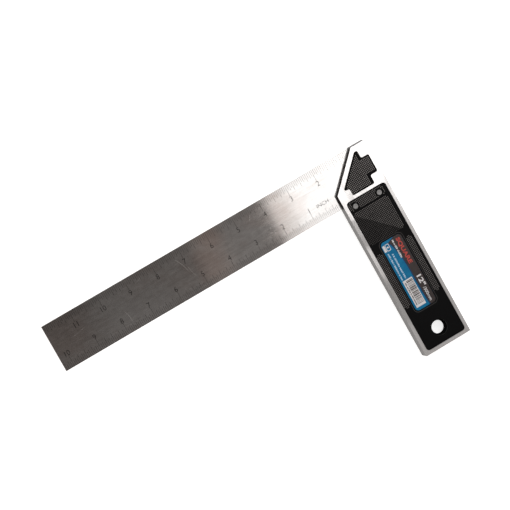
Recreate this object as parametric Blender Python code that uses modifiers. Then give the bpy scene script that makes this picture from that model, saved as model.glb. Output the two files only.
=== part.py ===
"""Twelve inch try and mitre square, lying flat on its back.

A steel blade with inch scales sits in a slot in a die-cast aluminium stock, held by three rivets.
Moulded covers fill the pockets on both faces of the stock: a five-sided one over the blade's rivets,
and a long one that makes the grip, held by two rivets of its own. A label lies on the front grip.

Everything is drawn from the inner corner, where the blade's lower edge meets the stock's inner face:
+X runs out across the stock, +Y up the blade's width and +Z up through the thickness.
"""
import math

import bmesh
import bpy
from mathutils import Matrix, Vector

MM = 0.001
GAP = 0.3 * MM  # between neighbouring pieces

# Driving dimensions
OUTER_LENGTH = 304.8 * MM  # stock's outer edge to the blade's free end, 12 inches
BLADE_WIDTH = 41.0 * MM
BLADE_THICKNESS = 1.0 * MM
STOCK_WIDTH = 43.0 * MM
STOCK_REACH = 139.5 * MM  # below the blade's lower edge
STOCK_THICKNESS = 13.0 * MM
STOCK_CORNER = 0.8 * MM
STOCK_EDGE = 0.5 * MM  # broken edge round both faces

# Mitre: a 45 degree shoulder across the stock's inner top corner
MITRE_HEIGHT = 11.7 * MM  # where it starts on the inner face
MITRE_TOP_X = BLADE_WIDTH - MITRE_HEIGHT

# Blade slot
TONGUE_REACH = 38.0 * MM  # blade's length inside the stock
MID_HEIGHT = STOCK_THICKNESS / 2

# Grip pockets and covers
GRIP_LEFT = 3.0 * MM
GRIP_RIGHT = 40.2 * MM
GRIP_TOP = 3.2 * MM
GRIP_BOTTOM = -136.4 * MM
GRIP_CORNER = 2.8 * MM
GRIP_DEPTH = 4.5 * MM
GRIP_SINK = 0.15 * MM  # cover's face below the stock's face
GRIP_ROUND = 0.9 * MM

# Mitre pockets and covers
COVER_DEPTH = 2.4 * MM
COVER_SINK = 0.15 * MM  # cover's face below the stock's face
COVER_CORNER = 1.4 * MM
COVER_ROUND = 0.6 * MM
COVER_OFFSET = 6.6 * MM  # the cover's sloping edge is the line y = x + this

# Rivets
BLADE_RIVETS = {
    "blade_rivet_top": (28.3 * MM, 28.8 * MM),
    "blade_rivet_outer": (33.5 * MM, 19.0 * MM),
    "blade_rivet_inner": (16.5 * MM, 11.5 * MM),
}
BLADE_SHANK = 2.0 * MM
BLADE_HEAD = 3.2 * MM
BLADE_HEAD_HEIGHT = 1.0 * MM
BLADE_HEAD_SINK = 1.6 * MM  # counterbore under the mitre pocket's floor
GRIP_RIVETS = {
    "grip_rivet_inner": (9.2 * MM, -2.7 * MM),
    "grip_rivet_outer": (32.2 * MM, -2.7 * MM),
}
GRIP_SHANK = 1.5 * MM
GRIP_HEAD = 2.3 * MM
GRIP_HEAD_HEIGHT = 1.2 * MM
GRIP_HEAD_FACE = 0.2 * MM  # rivet's end below the stock's face

# Hanging hole
HANG_X = 21.6 * MM
HANG_Y = -123.9 * MM
HANG_BORE = 5.6 * MM  # through the casting
HANG_COVER = 6.9 * MM  # through the covers, wider than the bore

# Label
LABEL_LEFT = 11.2 * MM
LABEL_RIGHT = 30.7 * MM
LABEL_TOP = -39.8 * MM
LABEL_BOTTOM = -103.4 * MM
LABEL_CORNER = 3.2 * MM
LABEL_THICKNESS = 0.25 * MM

ARC_STEP = math.radians(15)
ROUND_SIDES = 32
TURN_STEPS = 24
WELD = 0.00001

# The origin is under the middle of the whole square's box
CORNER_X = OUTER_LENGTH / 2 - STOCK_WIDTH
CORNER_Y = (STOCK_REACH - BLADE_WIDTH) / 2


def fillet(before, corner, after, radius):
    """Points of the arc that rounds one corner of an outline."""
    into = (before - corner).normalized()
    out = (after - corner).normalized()
    half_angle = into.angle(out) / 2
    reach = radius / math.tan(half_angle)
    middle = corner + (into + out).normalized() * (radius / math.sin(half_angle))
    start = corner + into * reach - middle
    sweep = start.angle_signed(corner + out * reach - middle)
    steps = max(2, round(abs(sweep) / ARC_STEP))
    return [middle + Matrix.Rotation(-sweep * i / steps, 2) @ start for i in range(steps + 1)]


def rounded(corners, radius):
    """Outline through the corners, each rounded to the radius."""
    corners = [Vector(c) for c in corners]
    points = []
    for i, corner in enumerate(corners):
        points += fillet(corners[i - 1], corner, corners[(i + 1) % len(corners)], radius)
    return points


def rectangle(left, right, bottom, top, inset=0.0):
    """Corners of an upright rectangle, drawn in by the inset."""
    left, right = left + inset, right - inset
    bottom, top = bottom + inset, top - inset
    return [(left, bottom), (right, bottom), (right, top), (left, top)]


def circle(centre, radius):
    """Outline of a round hole."""
    turns = [2 * math.pi * i / ROUND_SIDES for i in range(ROUND_SIDES)]
    return [Vector((centre[0] + radius * math.cos(a), centre[1] + radius * math.sin(a))) for a in turns]


def add_object(name, mesh, collection, place):
    """Object for a mesh, placed from the inner corner that holds it."""
    item = bpy.data.objects.new(name, mesh)
    collection.objects.link(item)
    item.parent = corner_empty
    item.location = place
    return item


def flat_plate(name, outlines, low, high, collection):
    """Flat plate between two heights; the first outline is its edge, the others are holes in it."""
    curve = bpy.data.curves.new(name, "CURVE")
    curve.dimensions = "2D"
    curve.fill_mode = "BOTH"
    curve.extrude = (high - low) / 2
    for outline in outlines:
        spline = curve.splines.new("POLY")
        spline.points.add(len(outline) - 1)
        for point, place in zip(spline.points, outline):
            point.co = (place[0], place[1], 0, 1)
        spline.use_cyclic_u = True
    drawing = bpy.data.objects.new(name + "_outline", curve)
    collection.objects.link(drawing)
    drawing.location.z = (low + high) / 2
    bpy.context.view_layer.update()
    evaluated = drawing.evaluated_get(bpy.context.evaluated_depsgraph_get())
    mesh = bpy.data.meshes.new_from_object(evaluated)
    mesh.name = name
    welder = bmesh.new()
    welder.from_mesh(mesh)
    bmesh.ops.remove_doubles(welder, verts=welder.verts, dist=WELD)
    bmesh.ops.recalc_face_normals(welder, faces=welder.faces)
    welder.to_mesh(mesh)
    welder.free()
    item = add_object(name, mesh, collection, drawing.matrix_world.translation)
    bpy.data.objects.remove(drawing)
    bpy.data.curves.remove(curve)
    return item


def turned_rivet(name, centre, shank, head, head_height, low, high):
    """Rivet with a flat head at each end, turned from one profile."""
    profile = [
        (0, high),
        (head, high),
        (head, high - head_height),
        (shank, high - head_height),
        (shank, low + head_height),
        (head, low + head_height),
        (head, low),
        (0, low),
    ]
    mesh = bpy.data.meshes.new(name)
    points = [(radius, 0, height) for radius, height in profile]
    mesh.from_pydata(points, [(i, i + 1) for i in range(len(points) - 1)], [])
    item = add_object(name, mesh, parts, (centre[0], centre[1], 0))
    screw = item.modifiers.new("turn", "SCREW")
    screw.steps = screw.render_steps = TURN_STEPS
    screw.use_merge_vertices = True
    screw.merge_threshold = WELD
    return item


def break_edges(item, width, segments=2):
    """Bevels every sharp edge of a plate."""
    bevel = item.modifiers.new("broken_edges", "BEVEL")
    bevel.width = width
    bevel.segments = segments
    bevel.limit_method = "ANGLE"
    bevel.angle_limit = math.radians(40)


def cut(item, cutter):
    """Cuts the cutter's shape out of the piece."""
    cutter.hide_render = True
    cutter.display_type = "WIRE"
    boolean = item.modifiers.new("cut_" + cutter.name, "BOOLEAN")
    boolean.operation = "DIFFERENCE"
    boolean.object = cutter


def round_cutter(name, centre, radius, low, high):
    """Cylinder that cuts a round hole."""
    bpy.ops.mesh.primitive_cylinder_add(vertices=ROUND_SIDES, radius=radius, depth=high - low)
    item = bpy.context.object
    item.name = name
    for holder in item.users_collection:
        holder.objects.unlink(item)
    cutters.objects.link(item)
    item.parent = corner_empty
    item.location = (centre[0], centre[1], (low + high) / 2)
    return item


def finish(item, colour, roughness, metallic):
    """Gives a piece its material and smooth shading between its sharp edges."""
    material = bpy.data.materials.new(item.name)
    material.use_nodes = True
    shader = material.node_tree.nodes["Principled BSDF"]
    shader.inputs["Base Color"].default_value = (*colour, 1)
    shader.inputs["Roughness"].default_value = roughness
    shader.inputs["Metallic"].default_value = metallic
    item.data.materials.append(material)
    item.data.shade_smooth()
    item.data.set_sharp_from_angle(angle=math.radians(30))


def mitre_cover_outline(inset):
    """Corners of the five-sided cover, with the steps that key it into its pocket.

    It runs along the mitre on its sloping side. A notch at the top right and two at the bottom
    leave room for the casting's corner blocks.
    """
    left, right = 11.6 * MM, 39.7 * MM
    inner_right = 32.6 * MM
    bottom, top = 5.9 * MM, 36.4 * MM
    step_left, step_right, notch_top = 12.3 * MM, 13.3 * MM, 29.4 * MM
    slope = COVER_OFFSET - inset * math.sqrt(2)
    return [
        (left + inset, bottom + inset),
        (inner_right - inset, bottom + inset),
        (inner_right - inset, step_right + inset),
        (right - inset, step_right + inset),
        (right - inset, notch_top - inset),
        (inner_right - inset, notch_top - inset),
        (inner_right - inset, top - inset),
        (top - inset - slope, top - inset),
        (step_left + inset - slope, step_left + inset),
        (left + inset, step_left + inset),
    ]


def build_blade():
    """Steel blade, with its tongue inside the stock and a hole for each rivet."""
    free_end = STOCK_WIDTH - OUTER_LENGTH
    edge = [Vector(c) for c in rectangle(free_end, TONGUE_REACH, 0, BLADE_WIDTH)]
    holes = [circle(centre, BLADE_SHANK + GAP) for centre in BLADE_RIVETS.values()]
    low = MID_HEIGHT - BLADE_THICKNESS / 2
    blade = flat_plate("blade", [edge, *holes], low, low + BLADE_THICKNESS, parts)
    finish(blade, (0.42, 0.41, 0.40), 0.35, 1.0)


def build_stock():
    """Die-cast stock: a web between two pockets, with a rim, a blade slot and a mitre shoulder."""
    corners = [
        (0, -STOCK_REACH),
        (STOCK_WIDTH, -STOCK_REACH),
        (STOCK_WIDTH, BLADE_WIDTH),
        (MITRE_TOP_X, BLADE_WIDTH),
        (0, MITRE_HEIGHT),
    ]
    stock = flat_plate("stock", [rounded(corners, STOCK_CORNER)], 0, STOCK_THICKNESS, parts)
    break_edges(stock, STOCK_EDGE)
    proud = 2 * MM  # how far a cutter stands out of the face that it cuts
    grip = rounded(rectangle(GRIP_LEFT, GRIP_RIGHT, GRIP_BOTTOM, GRIP_TOP), GRIP_CORNER)
    cover = rounded(mitre_cover_outline(0), COVER_CORNER)
    top = STOCK_THICKNESS
    cut(stock, flat_plate("front_grip_pocket", [grip], top - GRIP_DEPTH, top + proud, cutters))
    cut(stock, flat_plate("back_grip_pocket", [grip], -proud, GRIP_DEPTH, cutters))
    cut(stock, flat_plate("front_mitre_pocket", [cover], top - COVER_DEPTH, top + proud, cutters))
    cut(stock, flat_plate("back_mitre_pocket", [cover], -proud, COVER_DEPTH, cutters))
    slot_half = BLADE_THICKNESS / 2 + GAP
    slot = rectangle(-proud, TONGUE_REACH + GAP, -GAP, BLADE_WIDTH + proud)
    slot_low, slot_high = MID_HEIGHT - slot_half, MID_HEIGHT + slot_half
    cut(stock, flat_plate("blade_slot", [slot], slot_low, slot_high, cutters))
    seat, seat_start, seat_end = BLADE_HEAD + GAP, COVER_DEPTH / 2, COVER_DEPTH + BLADE_HEAD_SINK
    for name, centre in BLADE_RIVETS.items():
        cut(stock, round_cutter(name + "_bore", centre, BLADE_SHANK + GAP, -proud, top + proud))
        cut(stock, round_cutter(name + "_back_seat", centre, seat, seat_start, seat_end))
        cut(stock, round_cutter(name + "_front_seat", centre, seat, top - seat_end, top - seat_start))
    for name, centre in GRIP_RIVETS.items():
        cut(stock, round_cutter(name + "_bore", centre, GRIP_SHANK + GAP, -proud, top + proud))
    cut(stock, round_cutter("hanging_bore", (HANG_X, HANG_Y), HANG_BORE, -proud, top + proud))
    finish(stock, (0.66, 0.65, 0.64), 0.38, 1.0)


def build_grip_cover(name, front):
    """Moulded grip cover, with its rivet seats, its hanging hole and, in front, the label's bed."""
    edge = rounded(rectangle(GRIP_LEFT, GRIP_RIGHT, GRIP_BOTTOM, GRIP_TOP, GAP), GRIP_CORNER - GAP)
    if front:
        low, high = STOCK_THICKNESS - GRIP_DEPTH + GAP, STOCK_THICKNESS - GRIP_SINK
    else:
        low, high = GRIP_SINK, GRIP_DEPTH - GAP
    cover = flat_plate(name, [edge, circle((HANG_X, HANG_Y), HANG_COVER)], low, high, parts)
    break_edges(cover, GRIP_ROUND, 3)
    proud = 1 * MM
    seat_depth = GRIP_HEAD_FACE + GRIP_HEAD_HEIGHT + GAP
    for rivet, centre in GRIP_RIVETS.items():
        bore = round_cutter(f"{name}_{rivet}_bore", centre, GRIP_SHANK + GAP, low - proud, high + proud)
        cut(cover, bore)
        if front:
            seat_low, seat_high = STOCK_THICKNESS - seat_depth, high + proud
        else:
            seat_low, seat_high = low - proud, seat_depth
        cut(cover, round_cutter(f"{name}_{rivet}_seat", centre, GRIP_HEAD + GAP, seat_low, seat_high))
    if front:
        bed_edge = rectangle(LABEL_LEFT, LABEL_RIGHT, LABEL_BOTTOM, LABEL_TOP, -GAP)
        bed_floor = high - LABEL_THICKNESS - GAP
        bed_outline = rounded(bed_edge, LABEL_CORNER + GAP)
        cut(cover, flat_plate("label_bed", [bed_outline], bed_floor, high + proud, cutters))
    finish(cover, (0.016, 0.016, 0.017), 0.5, 0.0)


def build_label():
    """Printed label in its bed on the front grip cover."""
    outline = rounded(rectangle(LABEL_LEFT, LABEL_RIGHT, LABEL_BOTTOM, LABEL_TOP), LABEL_CORNER)
    high = STOCK_THICKNESS - GRIP_SINK
    label = flat_plate("label", [outline], high - LABEL_THICKNESS, high, parts)
    finish(label, (0.02, 0.18, 0.42), 0.3, 0.0)


def build_mitre_cover(name, low, high):
    """Moulded cover over the blade's rivets."""
    outline = rounded(mitre_cover_outline(GAP), COVER_CORNER)
    cover = flat_plate(name, [outline], low, high, parts)
    break_edges(cover, COVER_ROUND)
    finish(cover, (0.016, 0.016, 0.017), 0.5, 0.0)


def build_rivets():
    """Three rivets through the blade and two through the grip covers."""
    floor = COVER_DEPTH + GAP
    for name, centre in BLADE_RIVETS.items():
        low, high = floor, STOCK_THICKNESS - floor
        rivet = turned_rivet(name, centre, BLADE_SHANK, BLADE_HEAD, BLADE_HEAD_HEIGHT, low, high)
        finish(rivet, (0.50, 0.50, 0.50), 0.4, 1.0)
    for name, centre in GRIP_RIVETS.items():
        low, high = GRIP_HEAD_FACE, STOCK_THICKNESS - GRIP_HEAD_FACE
        rivet = turned_rivet(name, centre, GRIP_SHANK, GRIP_HEAD, GRIP_HEAD_HEIGHT, low, high)
        finish(rivet, (0.35, 0.35, 0.35), 0.5, 1.0)


for old in list(bpy.data.objects):
    bpy.data.objects.remove(old)
parts = bpy.data.collections.new("try_square")
cutters = bpy.data.collections.new("cutters")
bpy.context.scene.collection.children.link(parts)
bpy.context.scene.collection.children.link(cutters)
corner_empty = bpy.data.objects.new("inner_corner", None)
corner_empty.location = (CORNER_X, CORNER_Y, 0)
parts.objects.link(corner_empty)

build_blade()
build_stock()
build_grip_cover("grip_cover_front", front=True)
build_grip_cover("grip_cover_back", front=False)
build_mitre_cover("mitre_cover_front", STOCK_THICKNESS - COVER_DEPTH + GAP, STOCK_THICKNESS - COVER_SINK)
build_mitre_cover("mitre_cover_back", COVER_SINK, COVER_DEPTH - GAP)
build_rivets()
build_label()
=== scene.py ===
# %% [markdown]
# # A twelve inch try and mitre square
#
# The tool lies flat on its back. A thin steel blade with inch scales sits in a slot in a die-cast
# stock. Black moulded covers fill the pockets on both faces of the stock, two rivets hold the long
# ones, and a printed label lies on the front grip.
#
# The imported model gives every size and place. Each step below takes one piece, says what it is on
# the real tool, and makes the surface that a hand or an eye would notice.

# %% Load the frame
import math
import random
from contextlib import contextmanager

import bmesh
import bpy
from mathutils import Matrix, Vector


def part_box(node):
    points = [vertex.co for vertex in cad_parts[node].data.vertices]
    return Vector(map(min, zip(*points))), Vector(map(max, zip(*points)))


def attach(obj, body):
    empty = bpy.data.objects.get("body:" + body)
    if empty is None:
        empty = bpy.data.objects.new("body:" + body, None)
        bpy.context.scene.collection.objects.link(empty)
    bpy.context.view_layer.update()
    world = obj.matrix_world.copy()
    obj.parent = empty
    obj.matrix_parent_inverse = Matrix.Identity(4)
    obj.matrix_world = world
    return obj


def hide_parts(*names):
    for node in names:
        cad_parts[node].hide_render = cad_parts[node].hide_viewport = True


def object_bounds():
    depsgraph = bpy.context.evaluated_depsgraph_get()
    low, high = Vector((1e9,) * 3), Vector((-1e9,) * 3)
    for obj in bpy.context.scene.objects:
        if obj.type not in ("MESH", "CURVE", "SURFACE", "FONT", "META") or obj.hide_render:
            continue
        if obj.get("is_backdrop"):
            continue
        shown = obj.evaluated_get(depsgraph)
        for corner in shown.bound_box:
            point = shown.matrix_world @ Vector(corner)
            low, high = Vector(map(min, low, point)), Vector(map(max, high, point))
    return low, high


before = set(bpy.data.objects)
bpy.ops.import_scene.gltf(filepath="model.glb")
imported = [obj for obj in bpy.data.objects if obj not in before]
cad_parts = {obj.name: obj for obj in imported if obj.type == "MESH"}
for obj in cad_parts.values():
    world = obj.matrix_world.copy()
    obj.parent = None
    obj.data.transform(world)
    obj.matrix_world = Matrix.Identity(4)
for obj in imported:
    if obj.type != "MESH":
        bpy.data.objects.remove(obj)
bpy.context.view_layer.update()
print("CAD nodes:", sorted(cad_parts))

# %% [markdown]
# ## Measuring from the inner corner
#
# A square is set out from its inner corner, where the blade's lower edge meets the stock's inner
# face, so this script measures from there too: x runs out across the stock, y up the blade's
# width and z up from the back face, all in millimetres. One helper turns such a point into the
# frame's metres. The alternative, typing places in metres from the middle of the box, would be
# hard to check with a ruler.

# %% Millimetres from the inner corner
MM = 0.001
INCH = 25.4
blade_low, blade_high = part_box("blade")
stock_low, stock_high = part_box("stock")
corner = Vector((stock_low.x, blade_low.y, stock_low.z))
BLADE_FACE = (blade_high.z - corner.z) / MM
BLADE_WIDTH = (blade_high.y - blade_low.y) / MM
STOCK_WIDTH = (stock_high.x - stock_low.x) / MM
STOCK_FACE = (stock_high.z - stock_low.z) / MM


def at(x, y, z=0.0):
    """A point in the frame's metres, from millimetres off the inner corner."""
    return corner + Vector((x, y, z)) * MM


def in_mm(node):
    """A CAD node's lowest and highest corners, in millimetres off the inner corner."""
    low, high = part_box(node)
    return (low - corner) / MM, (high - corner) / MM


print(f"blade face at {BLADE_FACE:.2f}, stock {STOCK_WIDTH:.1f} wide and {STOCK_FACE:.1f} thick")

# %% [markdown]
# ## Camera
#
# The tool is looked at from above with a long lens, leaning about eleven degrees towards the
# blade's free end, and the whole picture is turned so that the blade climbs to the right.

# %% Camera
def in_scene(name, data):
    """New object in the scene."""
    item = bpy.data.objects.new(name, data)
    bpy.context.scene.collection.objects.link(item)
    return item


camera = in_scene("camera", bpy.data.cameras.new("camera"))
camera.location = (-0.31583, 0.28829, 2.06397)
camera.rotation_euler = [math.radians(turn) for turn in (-0.922, -11.394, -29.758)]
camera.data.lens = 182.43
camera.data.sensor_width = 36.0
camera.data.clip_start, camera.data.clip_end = 0.05, 50.0
bpy.context.scene.camera = camera
print("camera height", round(camera.location.z, 3))

# %% [markdown]
# ## Small tools for node trees
#
# Materials and Geometry Nodes are both trees of nodes. One helper adds a node, sets what it is
# told and links what it is given, so each tree below reads as a list of steps.

# %% Node helpers
def add(tree, kind, inputs=None, **settings):
    """Adds a node with these settings, and sets or links each of its inputs."""
    item = tree.nodes.new(kind)
    for name, value in settings.items():
        setattr(item, name, value)
    for key, value in (inputs or {}).items():
        if isinstance(value, bpy.types.NodeSocket):
            tree.links.new(value, item.inputs[key])
        else:
            item.inputs[key].default_value = value
    return item


def maths(tree, operation, first, second=0.0):
    """Output of one Math node."""
    return add(tree, "ShaderNodeMath", {0: first, 1: second}, operation=operation).outputs[0]


def product(tree, first, *others):
    """All of these multiplied together."""
    for other in others:
        first = maths(tree, "MULTIPLY", first, other)
    return first


def axes(tree, vector):
    """The X, Y and Z of a vector."""
    return add(tree, "ShaderNodeSeparateXYZ", {0: vector}).outputs


def vector_maths(tree, operation, first, second):
    """Vector output of one Vector Math node."""
    return add(tree, "ShaderNodeVectorMath", {0: first, 1: second}, operation=operation).outputs[0]


def distance(tree, first, second):
    """How far apart two places are."""
    return add(tree, "ShaderNodeVectorMath", {0: first, 1: second}, operation="DISTANCE").outputs["Value"]


def fade(tree, value, low, high, to_low=0.0, to_high=1.0):
    """Spreads value from the range low to high over to_low to to_high, and stops at the ends."""
    settings = {"Value": value, "From Min": low, "From Max": high, "To Min": to_low, "To Max": to_high}
    return add(tree, "ShaderNodeMapRange", settings).outputs["Result"]


def blend_colours(tree, share, first, second):
    """Mixes two colours; share is 0 for the first and 1 for the second."""
    item = add(tree, "ShaderNodeMix", data_type="RGBA")
    for key, value in (("Factor_Float", share), ("A_Color", first), ("B_Color", second)):
        socket = next(s for s in item.inputs if s.identifier == key)
        if isinstance(value, bpy.types.NodeSocket):
            tree.links.new(value, socket)
        else:
            socket.default_value = value if key == "Factor_Float" else (*value, 1.0)
    return next(s for s in item.outputs if s.identifier == "Result_Color")


def tinted(tree, value, low, high, first, second):
    """A colour that runs from the first to the second as the value goes from low to high."""
    return blend_colours(tree, fade(tree, value, low, high), first, second)


def noise(tree, place, scale, stretch=(1, 1, 1), detail=4.0, roughness=0.55, distortion=0.0):
    """Noise on Object coordinates; a small stretch value draws the pattern out along that axis."""
    mapping = add(tree, "ShaderNodeMapping", {"Vector": place, "Scale": stretch})
    settings = {"Vector": mapping.outputs[0], "Scale": scale, "Detail": detail}
    settings.update({"Roughness": roughness, "Distortion": distortion})
    return add(tree, "ShaderNodeTexNoise", settings).outputs["Fac"]


def new_material(name, **values):
    """A Principled material; returns it with its tree, its shader and its Object coordinates."""
    material = bpy.data.materials.new(name)
    material.use_nodes = True
    tree = material.node_tree
    shader = tree.nodes["Principled BSDF"]
    for key, value in values.items():
        shader.inputs[key.replace("_", " ")].default_value = value
    place = add(tree, "ShaderNodeTexCoord").outputs["Object"]
    print("finish:", name)
    return material, tree, shader, place


def drive(tree, shader, **sources):
    """Links outputs to the shader's sockets of those names."""
    for key, source in sources.items():
        tree.links.new(source, shader.inputs[key.replace("_", " ")])


def bump(tree, height, rise):
    """Normal output of a Bump node; the rise is in millimetres."""
    return add(tree, "ShaderNodeBump", {"Height": height, "Distance": rise * MM}).outputs["Normal"]


def grain_direction(tree):
    """Tangent along the UV map that lies with the metal's grain."""
    return add(tree, "ShaderNodeTangent", direction_type="UV_MAP", uv_map="grain").outputs[0]


def grained_metal(name, scale, stretch, tones, roughs, rise=0.0):
    """Metal whose fine grain varies its colour and its roughness together."""
    material, tree, shader, place = new_material(name, Metallic=1.0)
    grain = noise(tree, place, scale, stretch)
    drive(tree, shader, Base_Color=tinted(tree, grain, 0.3, 0.7, *tones))
    drive(tree, shader, Roughness=fade(tree, grain, 0.3, 0.7, *roughs))
    if rise:
        drive(tree, shader, Normal=bump(tree, grain, rise))
    return material


@contextmanager
def editing(mesh):
    """Opens a mesh for editing, and writes the result back into it."""
    editor = bmesh.new()
    editor.from_mesh(mesh)
    yield editor
    editor.to_mesh(mesh)
    editor.free()


# %% [markdown]
# ## Table and light
#
# The tool lies on a white table in a studio. Polished steel shows whatever is above it, so the
# light matters as much as the finish. Bright soft boxes hang over the stock's end of the blade and
# dim ones over the rest, which is why the blade runs from dark at its free end to white at the
# stock. One big lamp would be simpler, but it would leave the metal one flat tone.

# %% White table
TABLE_SIZE = 6.0
TABLE_DROP = 0.05 * MM


def white_table():
    """Matt white table top that stays white all over."""
    mesh = bpy.data.meshes.new("table")
    with editing(mesh) as editor:
        bmesh.ops.create_grid(editor, x_segments=1, y_segments=1, size=TABLE_SIZE / 2)
        bmesh.ops.translate(editor, verts=editor.verts, vec=(0, 0, -TABLE_DROP))
    material, tree, shader, place = new_material("white_table", Roughness=0.9)
    shader.inputs["Emission Color"].default_value = (1.0, 1.0, 1.0, 1.0)
    shader.inputs["Emission Strength"].default_value = 0.75
    grain = noise(tree, place, 900.0)
    drive(tree, shader, Base_Color=tinted(tree, grain, 0.3, 0.7, (0.86, 0.86, 0.86), (0.9, 0.9, 0.9)))
    mesh.materials.append(material)
    table = in_scene("table", mesh)
    table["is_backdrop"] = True


white_table()

# %% Studio ceiling
# Heights are the sine of the angle above the horizon, and each goes with a brightness.
CEILING = [(0.0, 0.95), (0.25, 0.8), (0.6, 0.42), (0.85, 0.2), (0.96, 0.125), (1.0, 0.105)]
WARM = (1.0, 0.925, 0.88)


def studio_ceiling():
    """World that is bright round the horizon and dim overhead."""
    world = bpy.data.worlds.new("studio")
    bpy.context.scene.world = world
    world.use_nodes = True
    tree = world.node_tree
    direction = add(tree, "ShaderNodeTexCoord").outputs["Generated"]
    ramp = add(tree, "ShaderNodeValToRGB", {0: axes(tree, direction)["Z"]})
    stops = ramp.color_ramp.elements
    while len(stops) < len(CEILING):
        stops.new(0.5)
    for stop, (position, level) in zip(stops, CEILING):
        stop.position = position
        stop.color = (level * WARM[0], level * WARM[1], level * WARM[2], 1.0)
    background = tree.nodes["Background"]
    tree.links.new(ramp.outputs["Color"], background.inputs["Color"])


studio_ceiling()
bpy.context.scene.view_settings.view_transform = "Standard"

# %% Soft boxes
# The boxes hang side by side at one height. Their edges are set by where they show in the metal.
LAMP_HEIGHT = 0.45
FAR = 0.55


def mirrored(point):
    """Where a reflection seen in a flat face at this point reaches the height of the lamps."""
    behind = Vector((camera.location.x, camera.location.y, 2 * point.z - camera.location.z))
    away = point - behind
    return point + away * ((LAMP_HEIGHT - point.z) / away.z)


def over_blade(x):
    """Edge of a lamp that shows across the blade at x."""
    return mirrored(at(x, BLADE_WIDTH / 2, BLADE_FACE)).x


def over_stock(y):
    """Edge of a lamp that shows across the stock at y."""
    return mirrored(at(STOCK_WIDTH / 2, y, STOCK_FACE)).y


def soft_box(name, left, right, low, high, brightness, colour, drop):
    """Rectangular lamp between these edges that faces straight down and is not seen itself."""
    light = bpy.data.lights.new(name, "AREA")
    light.shape = "RECTANGLE"
    light.size, light.size_y = right - left, high - low
    light.energy = brightness * math.pi * light.size * light.size_y
    light.color = colour
    lamp = in_scene(name, light)
    lamp.location = ((left + right) / 2, (low + high) / 2, LAMP_HEIGHT - drop)
    lamp.visible_camera = False


WHITE = (1.0, 1.0, 1.0)
PALE = (1.0, 0.95, 0.92)
BROWN = (1.0, 0.84, 0.77)
LOW_EDGE = over_stock(-40)
BELOW = mirrored(at(-150, -60, BLADE_FACE)).y
LOWER_HALF = mirrored(at(-150, 12, BLADE_FACE)).y
# Name, left, right, low and high edges, brightness, colour, and how far below the others it hangs.
SOFT_BOXES = [
    ("key", over_blade(-36), over_blade(0), LOW_EDGE, FAR, 1.85, WHITE, 0.0),
    ("key_outer", over_blade(0), FAR, over_stock(0), FAR, 2.4, WHITE, 0.0),
    ("key_edge", over_blade(-54), over_blade(-36), LOW_EDGE, FAR, 1.2, PALE, 0.0),
    ("glow", over_blade(-100), over_blade(-54), LOW_EDGE, FAR, 0.095, PALE, 0.0),
    ("brown_glow", over_blade(-124), over_blade(-100), LOW_EDGE, FAR, 0.155, BROWN, 0.0),
    ("far_glow", over_blade(-218), over_blade(-124), LOW_EDGE, FAR, 0.03, PALE, 0.0),
    ("lower_glow", over_blade(-275), over_blade(-60), BELOW, LOWER_HALF, 0.05, PALE, 0.005),
    ("low_strip", over_blade(0), FAR, over_stock(-50), over_stock(0), 0.62, WHITE, 0.0),
    ("low_fill", -FAR, FAR, -FAR, over_stock(-50), 0.325, WHITE, 0.0),
]
for box in SOFT_BOXES:
    soft_box(*box)

# %% [markdown]
# ## Small tools for meshes
#
# A few helpers make most of the solids. One copies a CAD node and welds its loose triangles into
# clean faces, so that its edges can be broken and shapes cut out of it. One extrudes an outline into
# a thin plate. One writes a shape into its place as a finished piece that rides on the tool.

# %% Mesh helpers
WELD = 0.002 * MM
FLAT_ANGLE = math.radians(0.3)
SHARP_ANGLE = math.radians(32)


def welded_copy(node):
    """Mesh of a CAD node with its triangles merged into clean flat faces."""
    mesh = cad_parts[node].data.copy()
    with editing(mesh) as editor:
        bmesh.ops.remove_doubles(editor, verts=editor.verts, dist=WELD)
        bmesh.ops.dissolve_limit(editor, angle_limit=FLAT_ANGLE, verts=editor.verts, edges=editor.edges)
    return mesh


def settle(item):
    """Makes an object's modifiers part of its mesh."""
    bpy.context.view_layer.update()
    evaluated = item.evaluated_get(bpy.context.evaluated_depsgraph_get())
    mesh = bpy.data.meshes.new_from_object(evaluated)
    item.modifiers.clear()
    item.data = mesh
    return mesh


def tidy_shading(mesh, angle=SHARP_ANGLE):
    """Smooth shading between sharp edges."""
    mesh.shade_smooth()
    mesh.set_sharp_from_angle(angle=angle)


def flat_faces_stay_flat(piece):
    """Weights the normals by face area, so that a rounded edge doesn't shade the flat beside it."""
    weighting = piece.modifiers.new("weighted_normals", "WEIGHTED_NORMAL")
    weighting.mode = "FACE_AREA"
    weighting.weight = 100
    weighting.keep_sharp = True
    settle(piece)


def plate(outline, low, high, name="plate"):
    """Thin solid between two heights, from an outline in millimetres that runs anticlockwise."""
    mesh = bpy.data.meshes.new(name)
    with editing(mesh) as editor:
        bottom = [editor.verts.new(at(x, y, low)) for x, y in outline]
        top = [editor.verts.new(at(x, y, high)) for x, y in outline]
        editor.faces.new(top)
        editor.faces.new(bottom[::-1])
        for i in range(len(outline)):
            j = (i + 1) % len(outline)
            editor.faces.new((bottom[i], bottom[j], top[j], top[i]))
    return mesh


def joined(meshes, name):
    """One mesh that holds all of these."""
    result = bpy.data.meshes.new(name)
    with editing(result) as editor:
        for mesh in meshes:
            editor.from_mesh(mesh)
    return result


def turned_over(mesh):
    """Copy of a mesh mirrored to the stock's other face."""
    result = mesh.copy()
    middle = at(0, 0, STOCK_FACE / 2).z
    flip = Matrix.Translation((0, 0, middle)) @ Matrix.Scale(-1, 4, (0, 0, 1))
    result.transform(flip @ Matrix.Translation((0, 0, -middle)))
    result.flip_normals()
    return result


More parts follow.
